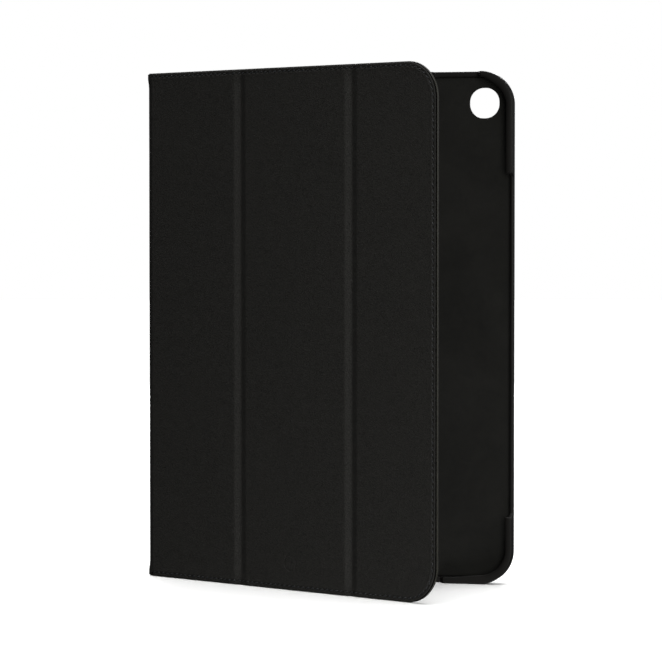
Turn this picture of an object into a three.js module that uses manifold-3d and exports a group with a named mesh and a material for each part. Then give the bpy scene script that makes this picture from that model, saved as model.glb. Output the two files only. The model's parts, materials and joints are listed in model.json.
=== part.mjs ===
// A folding leather case for a tablet, standing on its bottom edge and slightly open.
// A moulded tray grips the tablet by its corners. A leather skin on the tray's back runs round the
// spine and becomes a cover of three stiff panels, which two soft folds join.
//
// Millimetres, +Z up, front towards -Y. The tray's rim is the plane y = 0 while the model is built.
// The last lines move the origin to the middle of the model's base.

import * as THREE from "three";
import { mergeVertices } from "three/addons/utils/BufferGeometryUtils.js";
import Module from "manifold-3d";

const wasm = await Module();
wasm.setup();

// ---------------------------------------------------------------- driving dimensions

// the tablet that the case is made for
const TABLET = { width: 178.5, height: 247.6, thickness: 6.1, corner: 14.5 };

// the moulded tray
const BAY_CLEARANCE = 0.25; // round the tablet's edge
const FACE_CLEARANCE = 0.2; // between the tablet and the pad behind it
const WALL = 1.6; // the walls at its sides
const END_WALL = 2.6; // the walls at the tray's top and bottom
const FLOOR = 1.8;
const LIP_DEPTH = 0.9; // thickness of the corner lips that hold the tablet in
const LIP_OVERHANG = 1.8;
const FRONT_ROUND = 0.6;
const BACK_ROUND = 3.2;
const LOW_EDGE = 3.5; // how far the walls between the grips stand back from the rim
const CUT_SLANT = 2.2; // run of a grip's sloping end
const TOP_GRIP = { along: 16, down: 50 };
const BOTTOM_GRIP = { along: 34.5, up: 33 };
const PORT = { width: 15, depth: 7.0 };
const POWER_GAP = { width: 24, fromCorner: 17.5, depth: 6.6 };
const SPEAKER = { length: 24, height: 1.9, fromMiddle: 39, setBack: 4.6 };
const CAMERA_WINDOW = { size: 15, corner: 7, fromEdge: 15.5 };

// the sheets of the cover
const LEATHER = 0.85;
const BOARD = 1.1;
const LINING = 0.75;
const PAD = 0.6; // microfibre pad on the tray's floor
const GLUE = 0.15; // film between two sheets
const EDGE_GAP = 0.3; // between two pieces that meet edge to edge
const BOARD_PLAY = 0.2;

// the cover
const COVER_HEIGHT = 254;
const COVER_CORNER = 17.5;
const COVER_OVERHANG = 0.8; // how far the closed cover runs past the tray's right side
const COVER_CLEARANCE = 0.3; // between the closed cover and the tray's rim
const SPINE_CLEARANCE = 0.4; // between the closed spine and the tray's side
const SPINE_CREASE = 2.2; // from a spine hinge to the stiff panel beside it
const PANEL_WIDTHS = [61.9, 70.8]; // hinge to first fold, and first fold to second fold
const FOLD_WIDTH = 7;
const FOLD_CREASE = 1.3; // from a panel's edge to the crease beside it
const THREAD = { width: 0.6, height: 0.25, inset: 2.4, lift: 0.05 };

// the magnets in the boards
const MAGNET = { width: 6, height: 14 };
const SLEEP_MAGNET = { width: 5, height: 8 };
const MAGNET_INSET = 9; // from a board's edge to the middle of its magnets
const MAGNET_PLAY = 0.3; // round a magnet in its pocket
const MAGNET_RECESS = 0.1; // between a magnet's face and the board's

// how far the stored case stands open, in degrees from closed
const SPINE_REST = 8;
const COVER_REST = 18.4;
const FOLD_REST = 0;

// ---------------------------------------------------------------- derived dimensions

const bay = {
  width: TABLET.width + 2 * BAY_CLEARANCE,
  height: TABLET.height + 2 * BAY_CLEARANCE,
  corner: TABLET.corner + BAY_CLEARANCE,
};
const tray = {
  width: bay.width + 2 * WALL,
  height: bay.height + 2 * END_WALL,
  corner: bay.corner + WALL,
};
const padFront = LIP_DEPTH + TABLET.thickness + FACE_CLEARANCE;
const floorFront = padFront + PAD + GLUE;
const trayBack = floorFront + FLOOR;
const skinFront = trayBack + GLUE;
const right = tray.width / 2;
const middle = tray.height / 2;

// a sheet's place through the cover, from the face that lies against the tablet
const boardFrom = LINING + GLUE;
const leatherFrom = boardFrom + BOARD + GLUE;
const coverThickness = leatherFrom + LEATHER;
const webFrom = LINING + GLUE; // where board is missing, leather lies on the lining
const creaseDepth = LINING + GLUE / 2; // a fold's crease runs between its leather and its lining

// the two spine hinges, with the case closed
const backHinge = {
  x: -right - SPINE_CLEARANCE - creaseDepth,
  y: skinFront - (webFrom - creaseDepth),
};
const coverHinge = { x: backHinge.x, y: -COVER_CLEARANCE - creaseDepth };
const coverInside = -COVER_CLEARANCE;
const spineInside = -right - SPINE_CLEARANCE;

// the folds' middles and the free edge, along the closed cover
const foldMiddles = [
  coverHinge.x + PANEL_WIDTHS[0],
  coverHinge.x + PANEL_WIDTHS[0] + PANEL_WIDTHS[1],
];
const freeEdge = right + COVER_OVERHANG;
const panelEdges = [
  [coverHinge.x + SPINE_CREASE, foldMiddles[0] - FOLD_WIDTH / 2],
  [foldMiddles[0] + FOLD_WIDTH / 2, foldMiddles[1] - FOLD_WIDTH / 2],
  [foldMiddles[1] + FOLD_WIDTH / 2, freeEdge],
];

// ---------------------------------------------------------------- materials

const material = (color, roughness, metalness = 0) =>
  new THREE.MeshStandardMaterial({ color, roughness, metalness });
const leather = material(0x1d1d1a, 0.55);
const microfibre = material(0x24241f, 0.95);
const plastic = material(0x262423, 0.6);
const board = material(0x6b5d49, 0.85);
const magnetSteel = material(0xb9bcc0, 0.3, 1);
const thread = material(0x2b2c2e, 0.7);

// ---------------------------------------------------------------- shape helpers

const ARC_STEPS = 8;

// A manifold-3d solid from a three.js geometry, and back.
function solid(geometry) {
  const bare = geometry.index ? geometry.toNonIndexed() : geometry.clone();
  bare.deleteAttribute("normal");
  bare.deleteAttribute("uv");
  const merged = mergeVertices(bare, 1e-4);
  return new wasm.Manifold(
    new wasm.Mesh({
      numProp: 3,
      vertProperties: new Float32Array(merged.attributes.position.array),
      triVerts: new Uint32Array(merged.index.array),
    }),
  );
}

function geometryOf(body) {
  const mesh = body.getMesh();
  const geometry = new THREE.BufferGeometry();
  geometry.setAttribute("position", new THREE.BufferAttribute(mesh.vertProperties, 3));
  geometry.setIndex(new THREE.BufferAttribute(mesh.triVerts, 1));
  const flat = geometry.toNonIndexed();
  flat.computeVertexNormals();
  return flat;
}

// A rectangle in X and Z whose corners have their own radii: [low left, low right, top right, top left].
function outline(x0, x1, z0, z1, radii) {
  const [bl, br, tr, tl] = radii;
  const shape = new THREE.Shape();
  const corner = (x, z, radius, start) => {
    if (radius > 0) shape.absarc(x, z, radius, start, start + Math.PI / 2, false);
    else shape.lineTo(x, z);
  };
  shape.moveTo(x0 + bl, z0);
  corner(x1 - br, z0 + br, br, -Math.PI / 2);
  corner(x1 - tr, z1 - tr, tr, 0);
  corner(x0 + tl, z1 - tl, tl, Math.PI / 2);
  corner(x0 + bl, z0 + bl, bl, Math.PI);
  return shape;
}

// An outline in X and Z, made solid from its front plane to its back plane.
function slab(shape, front, back) {
  const geometry = new THREE.ExtrudeGeometry(shape, {
    depth: back - front,
    bevelEnabled: false,
    curveSegments: ARC_STEPS,
  });
  geometry.rotateX(Math.PI / 2);
  geometry.translate(0, back, 0);
  return solid(geometry);
}

// A polygon in X and Y, made solid from its lowest to its highest Z.
function column(points, low, high) {
  const shape = new THREE.Shape(points.map(([x, y]) => new THREE.Vector2(x, y)));
  const geometry = new THREE.ExtrudeGeometry(shape, {
    depth: high - low,
    bevelEnabled: false,
  });
  geometry.translate(0, 0, low);
  return solid(geometry);
}

const trayOutline = (sides, ends) =>
  outline(
    -right + sides,
    right - sides,
    ends,
    tray.height - ends,
    Array(4).fill(Math.max(tray.corner - sides, 0)),
  );

// The tray's outer body: rounded rectangles, each pulled in by its own inset, from front to back.
function trayBody(rings) {
  const perRing = 4 * (ARC_STEPS + 1);
  const vertices = [];
  for (const { y, inset } of rings) {
    const radius = tray.corner - inset;
    for (let quarter = 0; quarter < 4; quarter++) {
      const sideX = quarter === 0 || quarter === 3 ? 1 : -1;
      const sideZ = quarter < 2 ? 1 : -1;
      for (let step = 0; step <= ARC_STEPS; step++) {
        const angle = ((quarter + step / ARC_STEPS) * Math.PI) / 2;
        vertices.push(
          sideX * (right - tray.corner) + radius * Math.cos(angle),
          y,
          middle + sideZ * (middle - tray.corner) + radius * Math.sin(angle),
        );
      }
    }
  }
  const frontMiddle = vertices.length / 3;
  vertices.push(0, rings[0].y, middle);
  vertices.push(0, rings[rings.length - 1].y, middle);
  const faces = [];
  for (let step = 0; step < perRing; step++) {
    const next = (step + 1) % perRing;
    for (let ring = 0; ring < rings.length - 1; ring++) {
      const [near, far] = [ring * perRing, (ring + 1) * perRing];
      faces.push(near + step, far + step, near + next);
      faces.push(near + next, far + step, far + next);
    }
    const last = (rings.length - 1) * perRing;
    faces.push(frontMiddle, step, next);
    faces.push(frontMiddle + 1, last + next, last + step);
  }
  const geometry = new THREE.BufferGeometry();
  geometry.setAttribute("position", new THREE.Float32BufferAttribute(vertices, 3));
  geometry.setIndex(faces);
  return solid(geometry);
}

// ---------------------------------------------------------------- the tray

const ROUND_STEPS = 4;
const PAST = 5; // how far a cutter runs past the wall it cuts

// The rings of an edge rounded from the outline onto a flat face: [{ y, inset }] towards the face.
function roundedEdge(faceY, radius, towards) {
  const rings = [];
  for (let step = 0; step <= ROUND_STEPS; step++) {
    const angle = ((step / ROUND_STEPS) * Math.PI) / 2;
    rings.push({
      y: faceY - towards * radius * (1 - Math.sin(angle)),
      inset: radius * (1 - Math.cos(angle)),
    });
  }
  return rings;
}

// A cutter that lowers a top or bottom wall between two X positions, with sloping ends.
function lowerAcross(x0, x1, depth, top) {
  const run = (CUT_SLANT * (depth + PAST)) / LOW_EDGE;
  const points = [
    [x0 + CUT_SLANT - run, -PAST],
    [x1 - CUT_SLANT + run, -PAST],
    [x1 - CUT_SLANT, depth],
    [x0 + CUT_SLANT, depth],
  ];
  const wall = END_WALL + BAY_CLEARANCE + LIP_OVERHANG;
  return top
    ? column(points, tray.height - wall, tray.height + PAST)
    : column(points, -PAST, wall);
}

// A cutter that lowers a side wall between two heights, with sloping ends.
function lowerUp(z0, z1, depth, side) {
  const lying = lowerAcross(z0, z1, depth, false);
  const upright = lying.rotate([0, -90, 0]);
  return side > 0
    ? upright.translate([right, 0, 0])
    : upright.mirror([1, 0, 0]).translate([-right, 0, 0]);
}

// A box that goes through a top or bottom wall.
function throughWall(x, width, front, back, top) {
  const points = [
    [x - width / 2, front],
    [x + width / 2, front],
    [x + width / 2, back],
    [x - width / 2, back],
  ];
  const reach = END_WALL + BAY_CLEARANCE;
  return top
    ? column(points, tray.height - reach, tray.height + PAST)
    : column(points, -PAST, reach);
}

const windowX = right - CAMERA_WINDOW.fromEdge;
const windowZ = tray.height - CAMERA_WINDOW.fromEdge;

function cameraWindow(grow) {
  const half = CAMERA_WINDOW.size / 2 + grow;
  const radii = Array(4).fill(CAMERA_WINDOW.corner + grow);
  const shape = outline(windowX - half, windowX + half, windowZ - half, windowZ + half, radii);
  return slab(shape, padFront - PAST, skinFront + PAST);
}

function trayShell() {
  const outer = trayBody([
    ...roundedEdge(0, FRONT_ROUND, -1).reverse(),
    ...roundedEdge(trayBack, BACK_ROUND, 1),
  ]);
  const inBay = slab(trayOutline(WALL, END_WALL), LIP_DEPTH, floorFront);
  const mouth = slab(
    trayOutline(WALL + LIP_OVERHANG, END_WALL + LIP_OVERHANG),
    -PAST,
    floorFront,
  );
  const acrossTop = [-right + TOP_GRIP.along, right - TOP_GRIP.along];
  const acrossBottom = [-right + BOTTOM_GRIP.along, right - BOTTOM_GRIP.along];
  const upSide = [BOTTOM_GRIP.up, tray.height - TOP_GRIP.down];
  const powerX = right - POWER_GAP.fromCorner - POWER_GAP.width / 2;
  const speakerBack = SPEAKER.setBack + SPEAKER.height;
  const cutters = [
    inBay,
    mouth,
    lowerAcross(...acrossTop, LOW_EDGE, true),
    lowerAcross(...acrossBottom, LOW_EDGE, false),
    lowerUp(...upSide, LOW_EDGE, 1),
    lowerUp(...upSide, LOW_EDGE, -1),
    throughWall(0, PORT.width, -PAST, PORT.depth, false),
    throughWall(powerX, POWER_GAP.width, -PAST, POWER_GAP.depth, true),
    cameraWindow(0),
  ];
  for (const side of [-1, 1]) {
    const x = side * SPEAKER.fromMiddle;
    cutters.push(throughWall(x, SPEAKER.length, SPEAKER.setBack, speakerBack, false));
  }
  const leftX = -SPEAKER.fromMiddle;
  cutters.push(throughWall(leftX, SPEAKER.length, SPEAKER.setBack, speakerBack, true));
  return wasm.Manifold.difference([outer, ...cutters]);
}

function trayPad() {
  const shape = trayOutline(WALL + EDGE_GAP, END_WALL + EDGE_GAP);
  return slab(shape, padFront, padFront + PAD).subtract(cameraWindow(EDGE_GAP));
}

// The leather on the tray's back, from the back hinge's crease to just inside the rounded edge.
function backSkin() {
  const inset = BACK_ROUND + EDGE_GAP;
  const radius = tray.corner - inset;
  const shape = outline(
    backHinge.x + SPINE_CREASE,
    right - inset,
    inset,
    tray.height - inset,
    [0, radius, radius, 0],
  );
  return slab(shape, skinFront, skinFront + LEATHER).subtract(cameraWindow(EDGE_GAP));
}

// ---------------------------------------------------------------- the cover's panels

// A panel's sheets share one outline, with round corners only on the cover's free edge.
function panelOutline(x0, x1, inset, isLast) {
  const radius = isLast ? Math.max(COVER_CORNER - inset, 0) : 0;
  return outline(x0 + inset, x1 - inset, inset, COVER_HEIGHT - inset, [0, radius, radius, 0]);
}

// A slab of the closed cover between two depths, counted from the face towards the tablet.
const coverSlab = (shape, from, to) => slab(shape, coverInside - to, coverInside - from);

// Leather is turned over the board's edges, so it is a shallow pan that the board sits in.
function leatherPan(x0, x1, isLast) {
  const outer = coverSlab(panelOutline(x0, x1, 0, isLast), boardFrom, coverThickness);
  const hollow = coverSlab(panelOutline(x0, x1, LEATHER, isLast), boardFrom - GLUE, leatherFrom);
  return outer.subtract(hollow);
}

function magnetSlab(size, x, z, grow, thickness, from) {
  const halfWidth = size.width / 2 + grow;
  const halfHeight = size.height / 2 + grow;
  const radii = Array(4).fill(0);
  const shape = outline(x - halfWidth, x + halfWidth, z - halfHeight, z + halfHeight, radii);
  return coverSlab(shape, from, from + thickness);
}

function panelBoard(x0, x1, isLast, magnets) {
  const inset = LEATHER + BOARD_PLAY;
  const pockets = magnets.map(({ size, x, z }) =>
    magnetSlab(size, x, z, MAGNET_PLAY, BOARD + 2, boardFrom - 1),
  );
  const whole = coverSlab(panelOutline(x0, x1, inset, isLast), boardFrom, boardFrom + BOARD);
  return wasm.Manifold.difference([whole, ...pockets]);
}

const panelLining = (x0, x1, isLast) =>
  coverSlab(panelOutline(x0, x1, 0, isLast), 0, LINING);

// The seam's thread on the last panel goes along its top, round its free edge and along its bottom.
function seamRoundEdge(x0, x1) {
  const { width, height, inset, lift } = THREAD;
  const from = coverThickness + lift;
  const line = (start, distance) => {
    const radius = Math.max(COVER_CORNER - distance, 0);
    const radii = [0, radius, radius, 0];
    return outline(start, x1 - distance, distance, COVER_HEIGHT - distance, radii);
  };
  return coverSlab(line(x0, inset - width / 2), from, from + height).subtract(
    coverSlab(line(x0 - 1, inset + width / 2), from - 1, from + height + 1),
  );
}

// On the other panels it is a straight row at the bottom and one at the top.
function seamRow(x0, x1, z) {
  const { width, height, lift } = THREAD;
  const from = coverThickness + lift;
  const shape = outline(x0, x1, z - width / 2, z + width / 2, Array(4).fill(0));
  return coverSlab(shape, from, from + height);
}

// ---------------------------------------------------------------- soft strips at the folds

const stripLeather = (x0, x1) =>
  coverSlab(panelOutline(x0, x1, 0, false), webFrom, webFrom + LEATHER);
const stripLining = (x0, x1) => coverSlab(panelOutline(x0, x1, 0, false), 0, LINING);

// A strip at a spine hinge is bent between two directions from the hinge, in degrees. Both run along
// the pieces that it joins, and the case's inside lies between them, counter-clockwise from the first.
function unit(degrees, length = 1) {
  const angle = THREE.MathUtils.degToRad(degrees);
  return new THREE.Vector2(Math.cos(angle), Math.sin(angle)).multiplyScalar(length);
}

const stripColumn = (hinge, points) =>
  column(points.map((p) => [hinge.x + p.x, hinge.y + p.y]), 0, COVER_HEIGHT);

// The leather goes round the outside of the bend.
function bentLeather(hinge, first, second, reach) {
  const edge = (radius) => {
    const points = [];
    for (let step = 0; step <= ARC_STEPS; step++) {
      const facing = THREE.MathUtils.lerp(first - 90, second + 90, step / ARC_STEPS);
      points.push(unit(facing, radius));
    }
    const before = points[0].clone().add(unit(first, reach));
    const after = points[ARC_STEPS].clone().add(unit(second, reach));
    return [before, ...points, after];
  };
  const inner = webFrom - creaseDepth;
  return stripColumn(hinge, [...edge(inner + LEATHER), ...edge(inner).reverse()]);
}

// The lining goes round its inside, and its two halves meet in a mitre.
function bentLining(hinge, first, second, reach) {
  const half = (second + 360 - first) / 2;
  const edge = (depth) => [
    unit(first, reach).add(unit(first + 90, depth)),
    unit(first + half, depth / Math.sin(THREE.MathUtils.degToRad(half))),
    unit(second, reach).add(unit(second - 90, depth)),
  ];
  return stripColumn(hinge, [...edge(creaseDepth - LINING), ...edge(creaseDepth).reverse()]);
}

// ---------------------------------------------------------------- the spine

// The spine's sheets stand beside the tray, from the back hinge to the cover hinge.
const spineFront = coverHinge.y + SPINE_CREASE;
const spineBack = backHinge.y - SPINE_CREASE;

function spineBox(from, to, inset, front = spineFront, back = spineBack) {
  const [x0, x1] = [spineInside - to, spineInside - from];
  const points = [
    [x0, front + inset],
    [x1, front + inset],
    [x1, back - inset],
    [x0, back - inset],
  ];
  return column(points, inset, COVER_HEIGHT - inset);
}

const spineLeather = () =>
  spineBox(boardFrom, coverThickness, 0).subtract(spineBox(boardFrom - GLUE, leatherFrom, LEATHER));
const spineBoard = () => spineBox(boardFrom, boardFrom + BOARD, LEATHER + BOARD_PLAY);
const spineLining = () => spineBox(0, LINING, 0, spineFront, backHinge.y - EDGE_GAP);

// ---------------------------------------------------------------- assembly

const part = new THREE.Group();

function add(parent, name, body, look) {
  const mesh = new THREE.Mesh(geometryOf(body), look);
  mesh.name = name;
  parent.add(mesh);
}

// A group that turns its contents about a vertical hinge. Opening turns the cover towards -Y.
function swing(parent, name, hinge, degreesOpen) {
  const pivot = new THREE.Group();
  pivot.name = name;
  pivot.position.set(hinge.x, hinge.y, 0);
  pivot.rotation.z = -THREE.MathUtils.degToRad(degreesOpen);
  const contents = new THREE.Group();
  contents.position.set(-hinge.x, -hinge.y, 0);
  pivot.add(contents);
  parent.add(pivot);
  return contents;
}

add(part, "tray_shell", trayShell(), plastic);
add(part, "tray_pad", trayPad(), microfibre);
add(part, "back_leather", backSkin(), leather);

const spine = swing(part, "spine_hinge", backHinge, SPINE_REST);
add(spine, "spine_leather", spineLeather(), leather);
add(spine, "spine_board", spineBoard(), board);
add(spine, "spine_lining", spineLining(), microfibre);

// the strips at the two spine hinges are bent as far as the stored case's hinges are
const creaseReach = SPINE_CREASE - EDGE_GAP;
const backBend = [backHinge, 270 - SPINE_REST, 0, creaseReach];
const coverBend = [coverHinge, 360 - COVER_REST, 90, creaseReach];
add(part, "back_hinge_leather", bentLeather(...backBend), leather);
add(spine, "cover_hinge_leather", bentLeather(...coverBend), leather);
add(spine, "cover_hinge_lining", bentLining(...coverBend), microfibre);

const closureX = freeEdge - MAGNET_INSET;
const standX = panelEdges[0][0] + MAGNET_INSET;
const magnets = [
  [
    { name: "stand_magnet_lower", size: MAGNET, x: standX, z: COVER_HEIGHT * 0.28 },
    { name: "stand_magnet_upper", size: MAGNET, x: standX, z: COVER_HEIGHT * 0.72 },
  ],
  [],
  [
    { name: "closure_magnet_lower", size: MAGNET, x: closureX, z: COVER_HEIGHT * 0.28 },
    { name: "closure_magnet_middle", size: MAGNET, x: closureX, z: COVER_HEIGHT * 0.5 },
    { name: "closure_magnet_upper", size: MAGNET, x: closureX, z: COVER_HEIGHT * 0.72 },
    { name: "sleep_magnet", size: SLEEP_MAGNET, x: closureX, z: COVER_HEIGHT * 0.85 },
  ],
];

function addPanel(parent, index) {
  const [x0, x1] = panelEdges[index];
  const isLast = index === panelEdges.length - 1;
  const panel = `panel_${index + 1}`;
  add(parent, `${panel}_leather`, leatherPan(x0, x1, isLast), leather);
  add(parent, `${panel}_board`, panelBoard(x0, x1, isLast, magnets[index]), board);
  add(parent, `${panel}_lining`, panelLining(x0, x1, isLast), microfibre);
  if (isLast) {
    add(parent, `${panel}_thread`, seamRoundEdge(x0, x1), thread);
  } else {
    add(parent, `${panel}_thread_lower`, seamRow(x0, x1, THREAD.inset), thread);
    add(parent, `${panel}_thread_upper`, seamRow(x0, x1, COVER_HEIGHT - THREAD.inset), thread);
  }
  for (const { name, size, x, z } of magnets[index]) {
    const body = magnetSlab(size, x, z, 0, BOARD - 2 * MAGNET_RECESS, boardFrom + MAGNET_RECESS);
    add(parent, name, body, magnetSteel);
  }
}

// A fold is a soft strip with a crease near each of its two edges. Returns the group beyond it.
function addFold(parent, index) {
  const fold = `fold_${index + 1}`;
  const crease = (side) => ({
    x: foldMiddles[index] + side * (FOLD_WIDTH / 2 - FOLD_CREASE),
    y: coverInside - creaseDepth,
  });
  const strip = swing(parent, `${fold}_spine_side`, crease(-1), FOLD_REST);
  const [x0, x1] = [panelEdges[index][1] + EDGE_GAP, panelEdges[index + 1][0] - EDGE_GAP];
  add(strip, `${fold}_leather`, stripLeather(x0, x1), leather);
  add(strip, `${fold}_lining`, stripLining(x0, x1), microfibre);
  return swing(strip, `${fold}_free_side`, crease(1), FOLD_REST);
}

const panel1 = swing(spine, "cover_hinge", coverHinge, COVER_REST);
addPanel(panel1, 0);
const panel2 = addFold(panel1, 0);
addPanel(panel2, 1);
const panel3 = addFold(panel2, 1);
addPanel(panel3, 2);

// the origin is the middle of the base
const bounds = new THREE.Box3().setFromObject(part);
const base = bounds.getCenter(new THREE.Vector3()).setZ(bounds.min.z);
part.position.sub(base);

export default part;
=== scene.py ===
"""Looks for a folding leather tablet case: a moulded tray, a leather skin that runs from the tray's back
round the spine to three stiff panels, microfibre lining, and a stitched hem.

Lengths in the helpers are millimetres, and become metres in Station.at() and in_tray(). A point on a
sheet is given by S, the distance along the leather from the back hinge, by its depth from the sheet's
inner face, and by its height.
"""

import json
import math

import bmesh
import bpy
from mathutils import Matrix, Vector, noise


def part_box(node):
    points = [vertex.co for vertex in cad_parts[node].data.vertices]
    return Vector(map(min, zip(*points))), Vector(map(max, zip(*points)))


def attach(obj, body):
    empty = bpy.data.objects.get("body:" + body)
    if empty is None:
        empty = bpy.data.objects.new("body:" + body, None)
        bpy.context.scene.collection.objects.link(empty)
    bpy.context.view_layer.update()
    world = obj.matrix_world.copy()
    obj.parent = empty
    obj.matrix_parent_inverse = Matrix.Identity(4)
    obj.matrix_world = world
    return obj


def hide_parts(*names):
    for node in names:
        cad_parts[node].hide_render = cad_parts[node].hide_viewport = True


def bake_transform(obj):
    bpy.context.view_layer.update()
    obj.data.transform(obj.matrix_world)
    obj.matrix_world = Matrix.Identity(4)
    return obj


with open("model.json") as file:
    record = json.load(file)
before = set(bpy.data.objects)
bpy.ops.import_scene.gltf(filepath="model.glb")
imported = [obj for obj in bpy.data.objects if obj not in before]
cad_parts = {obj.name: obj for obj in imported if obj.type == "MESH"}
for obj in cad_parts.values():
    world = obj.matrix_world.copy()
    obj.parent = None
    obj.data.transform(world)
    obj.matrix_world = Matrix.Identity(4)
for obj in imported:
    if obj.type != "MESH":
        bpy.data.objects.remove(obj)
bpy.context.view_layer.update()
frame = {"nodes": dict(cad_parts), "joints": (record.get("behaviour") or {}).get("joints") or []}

MM = 0.001
UP = Vector((0, 0, 1))

# ------------------------------------------------------------------ sizes, as in the CAD source

LINING = 0.75
GLUE = 0.15
BOARD = 1.1
LEATHER = 0.85
CREASE = LINING + GLUE / 2  # depth of every hinge line
RIM = LINING + GLUE  # where the turned edge of the leather ends
FACE = RIM + BOARD + GLUE + LEATHER  # depth of the panels' outer face
WEB = RIM + LEATHER  # depth of the leather where there is no board under it
CORNER = 17.5  # round corners of the cover
SEAM = 2.0  # from the edge to the middle of the seam
PITCH = 3.0  # from stitch to stitch
TRAY_CORNER = 16.35
SKIN_INSET = 3.5  # from the tray's outline to the edge of the leather on its back

JOINTS = {joint["name"]: joint for joint in frame["joints"]}


def hinge(name):
    x, y, _ = JOINTS[name]["pos_m"]
    return Vector((x, y, 0)) / MM


BACK_HINGE = hinge("spine_hinge")
COVER_HINGE = hinge("cover_hinge")
FOLD_HINGES = [[hinge(f"fold_{n}_spine_side"), hinge(f"fold_{n}_free_side")] for n in (1, 2)]


class Flat:
    """The flat run of a sheet from a hinge: where it starts, which way it goes and which way it faces."""

    def __init__(self, start, along, outward, s_start):
        self.start = start
        self.along = along
        self.outward = outward
        self.s_start = s_start

    def station(self, s):
        run = s - self.s_start
        return Station(self.start + self.along * run, self.outward, s)


class Station:
    """A line across a sheet at one S: a point on the hinge surface and the direction to the outer face."""

    def __init__(self, base, outward, s):
        self.base = base
        self.outward = outward
        self.s = s

    def at(self, depth, height):
        return (self.base + self.outward * (depth - CREASE) + UP * height) * MM


def side_of(direction):
    """The outward direction of a sheet that runs this way, with the case's inside on its left."""
    return Vector((direction.y, -direction.x, 0))


SPINE_LENGTH = (COVER_HINGE - BACK_HINGE).length
spine_way = (COVER_HINGE - BACK_HINGE).normalized()
cover_way = (FOLD_HINGES[0][0] - COVER_HINGE).normalized()
back_flat = Flat(BACK_HINGE, Vector((-1, 0, 0)), Vector((0, 1, 0)), 0)
spine_flat = Flat(BACK_HINGE, spine_way, side_of(spine_way), 0)
cover_flat = Flat(COVER_HINGE, cover_way, side_of(cover_way), SPINE_LENGTH)

COVER_START = SPINE_LENGTH


def s_of_fold(pair):
    return COVER_START + ((pair[0] + pair[1]) / 2 - COVER_HINGE).length


FOLDS = [s_of_fold(pair) for pair in FOLD_HINGES]
CREASE_OFFSET = (FOLD_HINGES[0][1] - FOLD_HINGES[0][0]).length / 2
spine_lo, spine_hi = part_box("spine_leather")
COVER_HEIGHT = (spine_hi.z - spine_lo.z) / MM


def reach_along(node):
    """The furthest that a CAD node of the cover goes from the cover hinge."""
    places = [vertex.co / MM - COVER_HINGE for vertex in frame["nodes"][node].data.vertices]
    return max(place.dot(cover_way) for place in places)


FREE_EDGE = COVER_START + reach_along("panel_3_leather")
tray_lo, tray_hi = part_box("tray_shell")
skin_lo, skin_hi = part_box("back_leather")
SKIN_END = -(skin_hi.x / MM - BACK_HINGE.x)
SKIN_LOW = skin_lo.z / MM
SKIN_HIGH = skin_hi.z / MM

# where the leather is cut into pieces: always where it is flat
CUT = 6.4  # from the middle of a fold
BACK_CUT = -6.0
SPINE_CUT = SPINE_LENGTH / 2
PANEL_CUTS = [
    (COVER_START + CUT, FOLDS[0] - CUT),
    (FOLDS[0] + CUT, FOLDS[1] - CUT),
    (FOLDS[1] + CUT, FREE_EDGE),
]

# the small plain mark pressed into the middle panel
MARK_S = FOLDS[0] + 0.462 * (FOLDS[1] - FOLDS[0])
MARK_Z = 13.2
MARK_RADIUS = 4.0


# ------------------------------------------------------------------ the leather's relief


def clamp(value, low=0.0, high=1.0):
    return max(low, min(high, value))


def smoothstep(low, high, value):
    t = clamp((value - low) / (high - low))
    return t * t * (3 - 2 * t)


def smooth_min(a, b, blend):
    near = max(blend - abs(a - b), 0) / blend
    return min(a, b) - near * near * blend / 4


def bump(distance, width):
    return math.exp(-((distance / width) ** 2))


GROOVE_HALF = 3.8
GROOVE_SOFT = 0.16  # roundness of a groove's bottom, as a share of its half width
HINGE_HALF = 2.7
HEM_EASE = (2.6, 7.0)  # where the grooves turn shallower, as distances from the sheet's edge
HEM_RISE = 0.5
SEAM_CHANNEL = (0.2, 0.5)  # depth and half width of the channel that the stitches lie in
SEAM_RIDGE = (0.07, 0.85, 0.4)  # height, distance from the seam and half width of the ridge beside it
MARK_RING = (0.16, 0.4, 0.33)
MARK_DOT = (0.14, 0.75)
GROOVES = [(COVER_START, HINGE_HALF), (FOLDS[0], GROOVE_HALF), (FOLDS[1], GROOVE_HALF)]


def wave(s, z, size, seed):
    return noise.noise(Vector((s / size, z / size, seed)))


def groove_rise(distance, half):
    """A groove's shape, from 0 in its rounded bottom to 1 at its edge, with nearly straight sides."""
    share = abs(distance) / half
    flat = GROOVE_SOFT
    return (math.hypot(share, flat) - flat) / (math.hypot(1.0, flat) - flat)


def leather_top(s, z, inset):
    """Depth of the leather's outer face. Inset is the distance from the nearest edge of the sheet."""
    floor = WEB + HEM_RISE * (1 - smoothstep(*HEM_EASE, inset))
    depth = FACE
    for middle, half in GROOVES:
        groove = floor + (FACE - floor) * groove_rise(s - middle, half)
        depth = smooth_min(depth, groove, 0.25)
    if s < HINGE_HALF:
        parabola = WEB + (FACE - WEB) * (max(s, 0) / HINGE_HALF) ** 2
        depth = smooth_min(depth, parabola, 0.3) if s > 0 else WEB
    if s > COVER_START + HINGE_HALF:
        deep, half_width = SEAM_CHANNEL
        depth -= deep * bump(inset - SEAM, half_width)
        high, away, half_width = SEAM_RIDGE
        depth += high * bump(inset - SEAM - away, half_width)
    mark = math.hypot(s - MARK_S, z - MARK_Z)
    if mark < MARK_RADIUS + 2:
        deep, in_from, half_width = MARK_RING
        depth -= deep * bump(mark - MARK_RADIUS + in_from, half_width)
        deep, half_width = MARK_DOT
        depth -= deep * bump(mark, half_width)
    calm = smoothstep(0.8, 4.0, inset)
    return depth + calm * (0.035 * wave(s, z, 23, 1.5) + 0.02 * wave(s, z, 9, 7.1))


def leather_under(s, z, inset):
    return max(leather_top(s, z, max(inset, 4.0)) - LEATHER, RIM + 0.02)


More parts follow.
